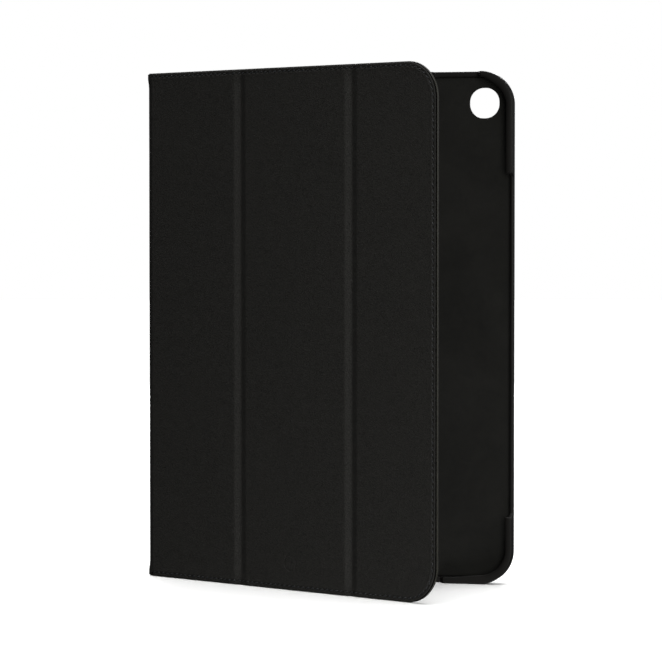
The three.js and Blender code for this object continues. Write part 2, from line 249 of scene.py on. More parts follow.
def lining_face(s, z, inset):
    """Depth of the lining's visible face: flat, with a pressed line at each crease."""
    pressed = 0.0
    for middle in FOLDS:
        for way in (-1, 1):
            pressed += 0.22 * bump(s - middle - way * (CREASE_OFFSET + 0.6), 0.6)
    soft = 0.02 * wave(s, z, 15, 3.3)
    return clamp(pressed + soft + 0.03, 0.0, 0.4)


def lining_under(s, z, inset):
    return LINING


# The section of a sheet's edge, from its visible face to its turned-in rim: (inset, share of the depth
# between the rim and the face, material). The first point belongs to the face. The materials are the
# leather or lining (0), the painted edge (1) and the raw cut between them (2), whose near-black is
# partly the cut's own colour and partly painted shade in its notch.
LEATHER_SECTION = [
    (1.05, 1.0, 0),
    (0.72, 0.99, 0),
    (0.58, 0.97, 0),
    (0.50, 0.92, 0),
    (0.48, 0.82, 2),
    (0.54, 0.74, 2),
    (0.74, 0.70, 2),
    (0.74, 0.62, 2),
    (0.44, 0.57, 2),
    (0.16, 0.53, 1),
    (0.04, 0.45, 1),
    (0.0, 0.20, 0),
    (0.05, 0.06, 0),
    (0.26, 0.0, 0),
    (0.85, 0.0, 0),
]
LINING_SECTION = [
    (1.0, 1.0, 0),
    (0.72, 0.97, 0),
    (0.52, 0.85, 0),
    (0.44, 0.6, 0),
    (0.44, 0.25, 0),
    (0.52, 0.05, 0),
    (0.66, 0.0, 0),
]
FRONT_INSETS = [1.2, 1.45, 1.7, 1.85, 2.0, 2.15, 2.3, 2.55, 2.8, 3.1, 3.5, 4.2, 5.5, 7.5]
FRONT_INSETS += [10.5, 14.0, CORNER]
INSET_GAP = 0.05  # between the edge's section and the first row of the face
ROUGH_THICKNESS = 2.1  # a sheet's depth, for the grain's run round its edge
UNDER_INSETS = [CORNER, 7.0, 2.5]


def spread(start, end, step):
    """Evenly spaced values from start to end, both included, no further apart than step."""
    count = max(1, math.ceil(abs(end - start) / step - 1e-9))
    return [start + (end - start) * i / count for i in range(count + 1)]


MARK_ROWS = spread(MARK_Z - MARK_RADIUS - 0.8, MARK_Z + MARK_RADIUS + 0.8, 0.3)
LOW_ROWS = sorted(set(FRONT_INSETS) | {row for row in MARK_ROWS if row < CORNER})
MIDDLE_ROWS = sorted(
    set(spread(CORNER, COVER_HEIGHT - CORNER, 9.0)) | {row for row in MARK_ROWS if row > CORNER}
)

# ------------------------------------------------------------------ meshes


def finish_mesh(name, bm, materials, smooth_angle=50):
    """A mesh object from a bmesh, with its normals outward and its hard edges marked."""
    bmesh.ops.remove_doubles(bm, verts=bm.verts, dist=1e-7)
    bmesh.ops.recalc_face_normals(bm, faces=bm.faces)
    mesh = bpy.data.meshes.new(name)
    bm.to_mesh(mesh)
    bm.free()
    for face in mesh.polygons:
        face.use_smooth = True
    mesh.set_sharp_from_angle(angle=math.radians(smooth_angle))
    for material in materials:
        mesh.materials.append(material)
    made = bpy.data.objects.new(name, mesh)
    bpy.context.scene.collection.objects.link(made)
    return made


def close_and_finish(name, bm, materials, smooth_angle, merge=1e-6):
    """A mesh object from a bmesh whose loops still have to be joined and filled."""
    bmesh.ops.remove_doubles(bm, verts=bm.verts, dist=merge)
    bmesh.ops.holes_fill(bm, edges=[edge for edge in bm.edges if edge.is_boundary], sides=0)
    return finish_mesh(name, bm, materials, smooth_angle)


def radians_between(start, end, step):
    """Evenly spaced angles, given in degrees and returned in radians."""
    return [math.radians(angle) for angle in spread(start, end, step)]


def loft(bm, rows, closed_rows, flags=None):
    """Quads between neighbouring rows of points. Each point is (place, (u, v)). Returns the vertices."""
    uv = bm.loops.layers.uv.verify()
    grid = [[bm.verts.new(point[0]) for point in row] for row in rows]
    count = len(rows[0])
    for i in range(len(rows) - 1):
        for j in range(count if closed_rows else count - 1):
            k = (j + 1) % count
            corners = [(i, j), (i + 1, j), (i + 1, k), (i, k)]
            found = []
            for a, b in corners:
                if all((grid[a][b].co - grid[c][d].co).length > 1e-8 for c, d in found):
                    found.append((a, b))
            if len(found) < 3:
                continue
            face = bm.faces.new([grid[a][b] for a, b in found])
            if flags:
                face.material_index = flags[j]
            for loop, (a, b) in zip(face.loops, found):
                loop[uv].uv = rows[a][b][1]
    return grid


class Sheet:
    """A kind of sheet: the relief of its two faces, its edge's section and the depth of its rim."""

    def __init__(self, top, under, section, rim):
        self.top = top
        self.under = under
        self.rim = rim
        self.first = section[0][0]
        self.inner = section[-1][0] + 0.001
        self.edge = []  # (inset, share of the depth, distance from the face along the section, material)
        run = 0.0
        before = section[0]
        for inset, share, flag in section:
            run += math.hypot(before[0] - inset, (before[1] - share) * ROUGH_THICKNESS)
            self.edge.append((inset, share, run, flag))
            before = (inset, share)


leather_sheet = Sheet(leather_top, leather_under, LEATHER_SECTION, RIM)
lining_sheet = Sheet(lining_face, lining_under, LINING_SECTION, LINING)


def strip_loop(sheet, station, low, high):
    """The closed section of a straight strip at a station: up its face and down its under side."""
    s = station.s
    first = sheet.first
    loop = []

    def add(z, depth, v, flag=0):
        loop.append((station.at(depth, z), (s * MM, v * MM), flag))

    def face(z):
        return sheet.top(s, z, first) - sheet.rim

    face_low, face_high = face(low + first), face(high - first)
    for inset, share, run, flag in reversed(sheet.edge):
        add(low + inset, sheet.rim + face_low * share, low + first - run, flag)
    scale = (high - low) / COVER_HEIGHT
    for row in LOW_ROWS:
        if row > first + INSET_GAP:
            add(low + row, sheet.top(s, low + row, row), low + row)
    for row in MIDDLE_ROWS[1:-1]:
        z = low + row * scale
        add(z, sheet.top(s, z, min(z - low, high - z)), z)
    for inset in reversed(FRONT_INSETS):
        if inset > first + INSET_GAP:
            add(high - inset, sheet.top(s, high - inset, inset), high - inset)
    for inset, share, run, flag in sheet.edge:
        add(high - inset, sheet.rim + face_high * share, high - first + run, flag)
    for inset in [sheet.inner] + sorted(UNDER_INSETS):
        add(high - inset, sheet.under(s, high - inset, inset), high - inset)
    for inset in sorted(UNDER_INSETS, reverse=True) + [sheet.inner]:
        add(low + inset, sheet.under(s, low + inset, inset), low + inset)
    return loop


def cap(bm, loop_verts):
    unique = []
    for vertex in loop_verts:
        if not unique or (vertex.co - unique[-1].co).length > 1e-8:
            unique.append(vertex)
    if (unique[0].co - unique[-1].co).length < 1e-8:
        unique.pop()
    bm.faces.new(unique)


def strip(name, sheet, stations, materials, extents=None):
    """A straight strip of a sheet through these stations, closed at both ends."""
    extents = extents or [(0.0, COVER_HEIGHT)] * len(stations)
    loops = [strip_loop(sheet, st, low, high) for st, (low, high) in zip(stations, extents)]
    flags = [max(a[2], b[2]) for a, b in zip(loops[0], loops[0][1:] + loops[0][:1])]
    bm = bmesh.new()
    grid = loft(bm, [[(p, uv) for p, uv, _ in loop] for loop in loops], True, flags)
    cap(bm, grid[0])
    cap(bm, grid[-1])
    return finish_mesh(name, bm, materials)


def round_ended(name, sheet, flat, start, end, low, high, radius, materials, columns):
    """A sheet whose far end has round corners: hem rings round it and a grid inside them."""
    way = 1 if end > start else -1
    centre_s = end - way * radius
    scale = (high - low - 2 * radius) / (COVER_HEIGHT - 2 * CORNER)
    rows = [low + radius + (row - CORNER) * scale for row in MIDDLE_ROWS]
    turn = radians_between(0, 90, 6)
    path = [(s, low, 0.0, -1.0, False) for s in columns]
    path += [(centre_s, low + radius, math.sin(a), -math.cos(a), True) for a in turn]
    path += [(end, z, 1.0, 0.0, False) for z in rows]
    path += [(centre_s, high - radius, math.cos(a), math.sin(a), True) for a in turn]
    path += [(s, high, 0.0, 1.0, False) for s in reversed(columns)]
    lofted = []
    for s, z, out_s, out_z, on_arc in path:
        row = []

        def inward(inset):
            reach = radius - inset if on_arc else -inset
            return s + way * out_s * reach, z + out_z * reach

        for inset, depth, unrolled, flag in hem_section(sheet, inward, radius):
            place_s, place_z = inward(inset)
            u, v = inward(unrolled)
            row.append((flat.station(place_s).at(depth, place_z), (u * MM, v * MM), flag))
        lofted.append(row)
    flags = [max(a[2], b[2]) for a, b in zip(lofted[0], lofted[0][1:])]
    bm = bmesh.new()
    loft(bm, [[(p, uv) for p, uv, _ in row] for row in lofted], False, flags)
    for relief, shift in ((sheet.top, 0.0), (sheet.under, 0.3)):
        grid = []
        for s in columns:
            line = []
            for z in rows:
                inset = min(z - low, high - z, abs(end - s))
                line.append((flat.station(s).at(relief(s, z, inset), z), (s * MM, (z - shift) * MM)))
            grid.append(line)
        loft(bm, grid, False)
    return close_and_finish(name, bm, materials, 50, 2e-6)


def hem_section(sheet, inward, radius):
    """The hem's section at one point of an outline: [(inset, depth, inset unrolled, material)]."""
    points = []
    insets = [i for i in FRONT_INSETS if i < radius - 0.01] + [radius]
    for inset in reversed(insets):
        if inset > sheet.first + INSET_GAP:
            points.append((inset, sheet.top(*inward(inset), inset), inset, 0))
    face = sheet.top(*inward(sheet.first), sheet.first)
    for inset, share, run, flag in sheet.edge:
        points.append((inset, sheet.rim + (face - sheet.rim) * share, sheet.first - run, flag))
    under_insets = [i for i in UNDER_INSETS if i < radius - 0.01] + [radius]
    for inset in [sheet.inner] + sorted(under_insets):
        points.append((inset, sheet.under(*inward(inset), inset), inset - 6.0, 0))
    return points


def columns_between(start, end, step, around=()):
    """Values from start to end, with more of them wherever the relief changes quickly."""
    values = set(spread(start, end, step))
    low, high = min(start, end), max(start, end)
    for middle, half, fine in around:
        values |= {v for v in spread(middle - half, middle + half, fine) if low < v < high}
    found = []
    for value in sorted(values, reverse=start > end):
        if not found or abs(value - found[-1]) > 0.08:
            found.append(value)
    if abs(found[-1] - end) > 1e-9:
        found[-1] = end
    return found


# ------------------------------------------------------------------ materials


class Nodes:
    """A small helper for building a node tree."""

    def __init__(self, name):
        self.material = bpy.data.materials.new(name)
        self.material.use_nodes = True
        self.tree = self.material.node_tree
        self.shader = self.tree.nodes["Principled BSDF"]

    def add(self, kind, settings=None, **inputs):
        node = self.tree.nodes.new(kind)
        for key, value in (settings or {}).items():
            setattr(node, key, value)
        for key, value in inputs.items():
            self.set(node, key.replace("_", " "), value)
        return node

    def set(self, node, socket, value):
        self.feed(node.inputs[socket], value)

    def feed(self, target, value):
        if isinstance(value, bpy.types.NodeSocket):
            self.tree.links.new(value, target)
        else:
            target.default_value = (*value, 1) if isinstance(value, tuple) and len(value) == 3 else value

    def noise(self, vector, scale, detail=4.0, roughness=0.55, distortion=0.0):
        node = self.add("ShaderNodeTexNoise", Scale=scale, Detail=detail, Roughness=roughness)
        self.set(node, "Distortion", distortion)
        self.set(node, "Vector", vector)
        return node.outputs["Fac"]

    def cells(self, vector, scale, feature="DISTANCE_TO_EDGE"):
        node = self.add("ShaderNodeTexVoronoi", {"feature": feature}, Scale=scale)
        self.set(node, "Vector", vector)
        return node.outputs["Distance"]

    def span(self, value, low, high, to_low=0.0, to_high=1.0):
        node = self.add("ShaderNodeMapRange", Value=value)
        self.set(node, "From Min", low)
        self.set(node, "From Max", high)
        self.set(node, "To Min", to_low)
        self.set(node, "To Max", to_high)
        return node.outputs["Result"]

    def math(self, operation, a, b=0.0):
        node = self.add("ShaderNodeMath", {"operation": operation})
        for socket, value in zip(node.inputs, (a, b)):
            self.feed(socket, value)
        return node.outputs[0]

    def colours(self, value, stops):
        node = self.add("ShaderNodeValToRGB")
        self.tree.links.new(value, node.inputs["Fac"])
        ramp = node.color_ramp
        while len(ramp.elements) < len(stops):
            ramp.elements.new(0.5)
        for element, (place, colour) in zip(ramp.elements, stops):
            element.position = place
            element.color = (*colour, 1)
        return node.outputs["Color"]

    def mix(self, share, a, b):
        node = self.add("ShaderNodeMix", {"data_type": "RGBA"})
        for socket, value in ((node.inputs[0], share), (node.inputs[6], a), (node.inputs[7], b)):
            self.feed(socket, value)
        return node.outputs[2]

    def relief(self, height, strength, distance, under=None):
        node = self.add("ShaderNodeBump", Strength=strength, Distance=distance, Height=height)
        if under is not None:
            self.set(node, "Normal", under)
        return node.outputs["Normal"]

    def surface(self, **inputs):
        for key, value in inputs.items():
            self.set(self.shader, key.replace("_", " "), value)

    def uv(self):
        return self.add("ShaderNodeUVMap").outputs["UV"]

    def place(self):
        return self.add("ShaderNodeTexCoord").outputs["Object"]


def grey(value, warm):
    return (value * (1 + warm), value, value * (1 - 2.2 * warm))


def leather_material(name, tone):
    """Black grained leather: small irregular pebbles with fine creases between them, painted darker as
    shade.
    """
    n = Nodes(name)
    where = n.uv()
    warped = n.add("ShaderNodeVectorMath", {"operation": "ADD"})
    drift = n.add("ShaderNodeTexNoise", Scale=900.0, Detail=2.0)
    n.set(drift, "Vector", where)
    small = n.add("ShaderNodeVectorMath", {"operation": "SCALE"}, Scale=0.0004)
    n.set(small, "Vector", drift.outputs["Color"])
    n.tree.links.new(where, warped.inputs[0])
    n.tree.links.new(small.outputs["Vector"], warped.inputs[1])
    spot = warped.outputs["Vector"]
    pebbles = n.span(n.cells(spot, 1500.0), 0.0, 0.16)
    fine = n.noise(where, 3600.0, 3.0)
    pores = n.span(n.cells(spot, 620.0, "F1"), 0.0, 0.55)
    creases = n.noise(where, 240.0, 5.0, 0.6)
    patches = n.noise(where, 26.0, 3.0)
    worn = n.span(n.noise(where, 70.0, 6.0, 0.65), 0.45, 0.75)
    base = n.colours(patches, [(0.3, grey(tone * 0.86, 0.05)), (0.7, grey(tone * 1.12, 0.05))])
    colour = n.mix(n.math("MULTIPLY", worn, 0.25), base, grey(tone * 1.5, 0.07))
    mottle = n.span(n.noise(where, 820.0, 3.0, 0.6), 0.34, 0.66)
    flecked = n.mix(n.math("MULTIPLY", mottle, 0.75), colour, grey(tone * 1.9, 0.07))
    # the creases between the pebbles are painted much darker: painted shade
    crease_shaded = n.mix(n.math("SUBTRACT", 1.0, pebbles), flecked, grey(tone * 0.3, 0.05))
    n.surface(Base_Color=crease_shaded)
    rough = n.math("ADD", n.span(creases, 0.3, 0.7, 0.58, 0.68), n.math("MULTIPLY", fine, 0.08))
    n.surface(Roughness=rough, IOR=1.45)
    n.set(n.shader, "Specular IOR Level", 0.4)
    lumps = n.relief(n.noise(where, 1000.0, 2.0, 0.5), 0.9, 0.00012)
    soft = n.relief(creases, 0.3, 0.00026, lumps)
    grain = n.relief(pebbles, 0.55, 0.00008, soft)
    holes = n.relief(pores, 0.2, 0.00008, grain)
    n.surface(Normal=n.relief(fine, 0.25, 0.00003, holes))
    return n.material


def lining_material():
    """Microfibre: a short brushed nap with darker and lighter strokes."""
    n = Nodes("microfibre")
    where = n.place()
    nap = n.noise(where, 5200.0, 3.0, 0.7)
    brushed = n.noise(where, 160.0, 4.0, 0.6, 1.2)
    strokes = n.noise(where, 34.0, 3.0, 0.5, 0.8)
    tone = n.math("ADD", n.math("MULTIPLY", strokes, 0.6), n.math("MULTIPLY", brushed, 0.4))
    colour = n.colours(tone, [(0.32, (0.0055, 0.0055, 0.0051)), (0.68, (0.0105, 0.0103, 0.0095))])
    speckled = n.mix(n.math("MULTIPLY", nap, 0.3), colour, (0.018, 0.018, 0.0168))
    n.surface(Base_Color=speckled, Roughness=n.span(brushed, 0.2, 0.8, 0.88, 0.98))
    n.set(n.shader, "Specular IOR Level", 0.08)
    n.set(n.shader, "Sheen Weight", 0.01)
    n.set(n.shader, "Sheen Roughness", 0.45)
    soft = n.relief(brushed, 0.3, 0.0003)
    n.surface(Normal=n.relief(nap, 0.5, 0.00012, soft))
    return n.material


def plastic_material():
    """Moulded polycarbonate with a fine spark-eroded texture, painted a little lighter in random patches: a
    painted sheen where it is handled.
    """
    n = Nodes("moulded_plastic")
    where = n.place()
    texture = n.noise(where, 2600.0, 3.0, 0.6)
    fine = n.noise(where, 9000.0, 2.0, 0.5)
    cloud = n.noise(where, 30.0, 3.0, 0.5)
    colour = n.colours(cloud, [(0.3, (0.0048, 0.0045, 0.0042)), (0.7, (0.0062, 0.0057, 0.0053))])
    # random patches painted a little lighter: painted sheen where it is handled
    handled_sheen = n.span(n.noise(where, 110.0, 5.0, 0.6), 0.5, 0.8)
    colour = n.mix(n.math("MULTIPLY", handled_sheen, 0.2), colour, (0.0085, 0.0078, 0.0074))
    n.surface(Base_Color=colour)
    rough = n.math("ADD", n.span(cloud, 0.3, 0.7, 0.4, 0.5), n.math("MULTIPLY", texture, 0.08))
    n.surface(Roughness=rough)
    n.set(n.shader, "Specular IOR Level", 0.12)
    coarse = n.relief(texture, 0.22, 0.00005)
    n.surface(Normal=n.relief(fine, 0.12, 0.00002, coarse))
    return n.material


def thread_material():
    """Twisted polyester thread, dark with a cool glint on its strands, partly from the shader's gloss and
    partly painted: its colour is darker in the twist's grooves (painted shade) and lighter on the strands
    (painted highlight).
    """
    n = Nodes("thread")
    where = n.uv()
    twist = n.add("ShaderNodeTexWave", {"wave_type": "BANDS", "bands_direction": "DIAGONAL"}, Scale=2600.0)
    n.set(twist, "Vector", where)
    n.set(twist, "Distortion", 0.6)
    strands = twist.outputs["Fac"]
    fuzz = n.noise(where, 9000.0, 2.0)
    # the colour follows the twist's relief: painted shade in its grooves, painted highlight on the strands
    colour = n.colours(strands, [(0.2, (0.0042, 0.0046, 0.0055)), (0.8, (0.0115, 0.0124, 0.015))])
    n.surface(Base_Color=n.mix(n.math("MULTIPLY", fuzz, 0.25), colour, (0.019, 0.0205, 0.0245)))
    n.surface(Roughness=n.span(fuzz, 0.2, 0.8, 0.34, 0.46))
    n.set(n.shader, "Specular IOR Level", 0.36)
    n.surface(Normal=n.relief(strands, 0.6, 0.00008))
    return n.material


def edge_material():
    """The painted edge inside the hem: a slightly lighter olive-brown line."""
    n = Nodes("painted_edge")
    where = n.place()
    streaks = n.noise(where, 420.0, 4.0, 0.6)
    colour = n.colours(streaks, [(0.3, (0.0135, 0.0132, 0.0095)), (0.7, (0.022, 0.0212, 0.0157))])
    n.surface(Base_Color=colour, Roughness=n.span(streaks, 0.3, 0.7, 0.42, 0.6))
    n.set(n.shader, "Specular IOR Level", 0.3)
    n.surface(Normal=n.relief(streaks, 0.35, 0.00008))
    return n.material


def shade_and_raw_cut_material():
    """Near-black raw fibres: painted shade for the needle holes, and along the cut beside the painted edge
    a raw cut darkened with painted shade.
    """
    n = Nodes("shade_and_raw_cut")
    fibres = n.noise(n.place(), 5000.0, 3.0, 0.6)
    # near-black: painted shade for the needle holes, and the raw cut's dark with painted shade
    colour = n.colours(fibres, [(0.3, (0.0008, 0.0008, 0.0008)), (0.7, (0.0022, 0.0021, 0.002))])
    n.surface(Base_Color=colour)
    n.surface(Roughness=n.span(fibres, 0.3, 0.7, 0.85, 1.0))
    n.set(n.shader, "Specular IOR Level", 0.05)
    return n.material


def board_material():
    """Grey pressed board with flecks of fibre."""
    n = Nodes("pressed_board")
    where = n.place()
    flecks = n.span(n.noise(where, 700.0, 5.0, 0.7), 0.35, 0.7)
    clouds = n.noise(where, 60.0, 3.0)
    base = n.colours(clouds, [(0.3, (0.17, 0.14, 0.10)), (0.7, (0.24, 0.205, 0.155))])
    n.surface(Base_Color=n.mix(flecks, base, (0.32, 0.29, 0.235)))
    n.surface(Roughness=n.span(clouds, 0.3, 0.7, 0.8, 0.95))
    n.surface(Normal=n.relief(flecks, 0.4, 0.0001))
    return n.material


def steel_material():
    """Nickel-plated magnet, finely ground."""
    n = Nodes("plated_magnet")
    where = n.place()
    streaks = n.add("ShaderNodeMapping", {"vector_type": "POINT"})
    n.set(streaks, "Vector", where)
    streaks.inputs["Scale"].default_value = (4000, 4000, 160)
    ground = n.noise(streaks.outputs["Vector"], 1.0, 3.0)
    n.surface(Base_Color=n.colours(ground, [(0.3, (0.5, 0.5, 0.52)), (0.7, (0.68, 0.68, 0.7))]))
    n.surface(Metallic=1.0, Roughness=n.span(ground, 0.3, 0.7, 0.22, 0.4))
    n.surface(Normal=n.relief(ground, 0.1, 0.00002))
    return n.material


leather = leather_material("grained_leather", 0.0074)
lining = lining_material()
plastic = plastic_material()
thread = thread_material()
edge_paint = edge_material()
shade_and_raw_cut = shade_and_raw_cut_material()
pressed_board = board_material()
plated = steel_material()

# ------------------------------------------------------------------ the leather


def arc_stations(pivot, first, last, s, count):
    """Stations that turn round a hinge from one outward direction to another."""
    turn = -first.xy.angle_signed(last.xy)
    around = [Matrix.Rotation(turn * step / count, 3, "Z") for step in range(count + 1)]
    return [Station(pivot, rotation @ first, s) for rotation in around]


def mitre_station(pivot, first, last, s):
    """The one station where two flat runs meet, stretched so that both keep their thickness."""
    middle = first + last
    outward = middle / (1 + first.dot(last))
    return Station(pivot, outward, s)


def crease_stations(before, after, pivot, start, s_hinge, end, mitred):
    """Stations along a sheet that turns at a hinge: in an arc, or at one mitred station."""
    fine = [(s_hinge, 3.4, 0.35)]
    left = [before.station(s) for s in columns_between(start, s_hinge, 1.2, fine)]
    right = [after.station(s) for s in columns_between(s_hinge, end, 1.2, fine)]
    if mitred:
        gap = 1.1
        left = [st for st in left if abs(st.s - s_hinge) > gap]
        right = [st for st in right if abs(st.s - s_hinge) > gap]
        return left + [mitre_station(pivot, before.outward, after.outward, s_hinge)] + right
    turned = arc_stations(pivot, before.outward, after.outward, s_hinge, 12)
    return left[:-1] + turned + right[1:]


def skin_extent(s):
    """The back skin is lower than the cover, and its ends ease out to the spine's height."""
    share = smoothstep(-4.6, -0.6, s)
    return (SKIN_LOW * (1 - share), SKIN_HIGH + (COVER_HEIGHT - SKIN_HIGH) * share)


LEATHER_MATERIALS = [leather, edge_paint, shade_and_raw_cut]

LEATHER_FOLD_STEP = 0.35
LINING_FOLD_STEP = 0.4
LAST_COLUMNS = columns_between(PANEL_CUTS[2][0], FREE_EDGE - CORNER, 6.0)
SKIN_CORNER = TRAY_CORNER - SKIN_INSET
COVER_TURN = (spine_flat, cover_flat, COVER_HINGE, SPINE_CUT, SPINE_LENGTH, PANEL_CUTS[0][0])
MARK_FINE = [(MARK_S, MARK_RADIUS + 0.8, 0.3)]


def fold_halves():
    """Each half of each fold: (number, side, start, end)."""
    for number, middle in enumerate(FOLDS, 1):
        yield number, "spine_side", middle - CUT, middle
        yield number, "free_side", middle, middle + CUT


def panels(kind, sheet, materials, step, fine=()):
    """The cover's three panels in one sheet. The last one has round corners."""
    made = []
    for number, (start, end) in enumerate(PANEL_CUTS[:2], 1):
        stations = [cover_flat.station(s) for s in columns_between(start, end, step, fine)]
        made.append(strip(f"panel_{number}_{kind}", sheet, stations, materials))
    outline = (PANEL_CUTS[2][0], FREE_EDGE, 0.0, COVER_HEIGHT, CORNER)
    made.append(round_ended(f"panel_3_{kind}", sheet, cover_flat, *outline, materials, LAST_COLUMNS))
    return made


def folds(kind, sheet, materials, step):
    made = []
    for number, side, start, end in fold_halves():
        stations = [cover_flat.station(s) for s in columns_between(start, end, step)]
        made.append(strip(f"fold_{number}_{side}_{kind}", sheet, stations, materials))
    return made


skin_outline = (BACK_CUT, SKIN_END, SKIN_LOW, SKIN_HIGH, SKIN_CORNER)
skin_columns = columns_between(BACK_CUT, SKIN_END + SKIN_CORNER, 9.0)
skin = round_ended(
    "back_skin", leather_sheet, back_flat, *skin_outline, LEATHER_MATERIALS, skin_columns
)
back_stations = crease_stations(
    back_flat, spine_flat, BACK_HINGE, BACK_CUT, 0.0, SPINE_CUT, False
)
back_extents = [skin_extent(station.s) for station in back_stations]
back_crease = strip(
    "back_crease_leather", leather_sheet, back_stations, LEATHER_MATERIALS, back_extents
)
cover_crease = strip(
    "cover_crease_leather", leather_sheet, crease_stations(*COVER_TURN, False), LEATHER_MATERIALS
)
panel_faces = panels("face", leather_sheet, LEATHER_MATERIALS, 6.0, MARK_FINE)
fold_leathers = folds("leather", leather_sheet, LEATHER_MATERIALS, LEATHER_FOLD_STEP)

# ------------------------------------------------------------------ the lining

SPINE_LINING_START = 0.45
spine_stations = [spine_flat.station(s) for s in spread(SPINE_LINING_START, SPINE_CUT, 1.0)]
spine_lining = strip("spine_lining_face", lining_sheet, spine_stations, [lining])
cover_crease_lining = strip(
    "cover_crease_lining", lining_sheet, crease_stations(*COVER_TURN, True), [lining]
)
panel_linings = panels("lining_face", lining_sheet, [lining], 8.0)
fold_linings = folds("lining", lining_sheet, [lining], LINING_FOLD_STEP)

# ------------------------------------------------------------------ the seam

STITCH = 2.05  # length of the thread that shows
STITCH_RADIUS = 0.29
STITCH_TAPER = 0.35
STITCH_SQUASH = 0.85
STITCH_LIFT = (0.3, -0.16)  # rise in the middle, and height of the ends
STITCH_SLANT = math.radians(20)
HOLE_RINGS = ((0.6, 0.0), (0.48, 0.05), (0.27, 0.03))  # (radius, height over the leather)
SEAM_START = COVER_START + 2.2


def seam_path():
    """Stitches along the bottom, round the free edge and along the top: (s, z, direction in s and z)."""
    straight = FREE_EDGE - CORNER - SEAM_START
    radius = CORNER - SEAM
    arc = radius * math.pi / 2
    side = COVER_HEIGHT - 2 * CORNER
    total = 2 * straight + 2 * arc + side
    count = round(total / PITCH)
    found = []
    centre = FREE_EDGE - CORNER
    for index in range(count):
        run = (index + 0.5) * total / count
        if run < straight:
            found.append((SEAM_START + run, SEAM, 1.0, 0.0))
            continue
        run -= straight
        if run < arc:
            c, d = math.cos(run / radius), math.sin(run / radius)
            found.append((centre + radius * d, CORNER - radius * c, c, d))
            continue
        run -= arc
        if run < side:
            found.append((FREE_EDGE - SEAM, CORNER + run, 0.0, 1.0))
            continue
        run -= side
        if run < arc:
            c, d = math.cos(run / radius), math.sin(run / radius)
            found.append((centre + radius * c, COVER_HEIGHT - CORNER + radius * d, -d, c))
            continue
        run -= arc
        found.append((centre - run, COVER_HEIGHT - SEAM, -1.0, 0.0))
    return found


def hole_shade_disc(bm, s, z):
    """A small disc painted near-black where a stitch goes through the leather: painted shade for the needle
    hole.
    """
    rings = []
    bed = leather_top(s, z, SEAM)
    for radius, lift in HOLE_RINGS:
        ring = []
        for angle in spread(0, 2 * math.pi, 0.8)[:-1]:
            place_s, place_z = s + radius * math.cos(angle), z + radius * math.sin(angle)
            place = cover_flat.station(place_s).at(bed + lift, place_z)
            ring.append((place, (place_s * MM, place_z * MM)))
        rings.append(ring)
    # the disc stands a little proud of the leather and takes the near-black material: painted shade of a
    # hole
    grid = loft(bm, rings, True, [1] * len(rings[0]))
    for ring in (grid[0], grid[-1]):
        bm.faces.new(ring).material_index = 1


def stitch_mesh(bm, s, z, way_s, way_z):
    """One stitch: a short thread that rises from its first hole and dips into its second."""
    c, d = math.cos(STITCH_SLANT), math.sin(STITCH_SLANT)
    way = (way_s * c - way_z * d, way_s * d + way_z * c)
    across = (-way[1], way[0])
    bed = leather_top(s, z, SEAM)
    rise, ends = STITCH_LIFT
    rings = []
    steps, sides = 8, 8
    for i in range(steps + 1):
        t = i / steps * 2 - 1
        along = t * STITCH / 2
        lift = rise * (1 - t**4) + ends
        radius = STITCH_RADIUS * (1 - STITCH_TAPER * abs(t) ** 3)
        ring = []
        for k in range(sides):
            angle = 2 * math.pi * k / sides
            side = radius * math.cos(angle)
            place_s = s + way[0] * along + across[0] * side
            place_z = z + way[1] * along + across[1] * side
            depth = bed + lift + radius * math.sin(angle) * STITCH_SQUASH
            spot = cover_flat.station(place_s).at(depth, place_z)
            ring.append((spot, ((s + along) * MM, (z + k * 0.21) * MM)))
        rings.append(ring)
    grid = loft(bm, rings, True)
    bm.faces.new(grid[0])
    bm.faces.new(grid[-1])
    hole_shade_disc(bm, s - way[0] * PITCH / 2, z - way[1] * PITCH / 2)


def stitches(name, low_s, high_s):
    bm = bmesh.new()
    for s, z, way_s, way_z in seam_path():
        if low_s <= s < high_s:
            stitch_mesh(bm, s, z, way_s, way_z)
    return finish_mesh(name, bm, [thread, shade_and_raw_cut], 60)


seam_ranges = {
    "cover_crease_stitches": (SEAM_START, PANEL_CUTS[0][0]),
    "panel_1_stitches": PANEL_CUTS[0],
    "fold_1_spine_side_stitches": (FOLDS[0] - CUT, FOLDS[0]),
    "fold_1_free_side_stitches": (FOLDS[0], FOLDS[0] + CUT),
    "panel_2_stitches": PANEL_CUTS[1],
    "fold_2_spine_side_stitches": (FOLDS[1] - CUT, FOLDS[1]),
    "fold_2_free_side_stitches": (FOLDS[1], FOLDS[1] + CUT),
    "panel_3_stitches": (PANEL_CUTS[2][0], FREE_EDGE + 1),
}
seams = {name: stitches(name, *limits) for name, limits in seam_ranges.items()}

# ------------------------------------------------------------------ the tray

